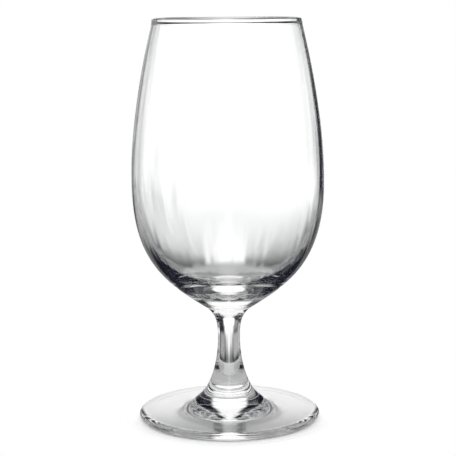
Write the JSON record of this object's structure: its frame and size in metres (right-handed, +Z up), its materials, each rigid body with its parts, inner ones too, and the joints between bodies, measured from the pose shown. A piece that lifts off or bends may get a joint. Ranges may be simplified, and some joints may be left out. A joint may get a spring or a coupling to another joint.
{
  "type": "stemmed glass goblet",
  "caption": "Clear glass water goblet: tall egg-shaped bowl with a beaded rim, short solid stem with a narrow waist, and a round foot with a rolled border.",
  "frame": {"origin": "centre of the foot's standing ring, on the surface the goblet stands on", "axes": "+Z up along the goblet's axis, towards the rim; the goblet is round about it"},
  "size_m": [0.0816, 0.0816, 0.17],
  "materials": {
    "bowl_glass": "clear, fire-polished",
    "stem_glass": "clear, pressed and fire-polished",
    "foot_glass": "clear, pressed and fire-polished"
  },
  "bodies": {
    "root": {"bowl": "bowl_glass", "stem": "stem_glass", "foot": "foot_glass"}
  },
  "joints": []
}
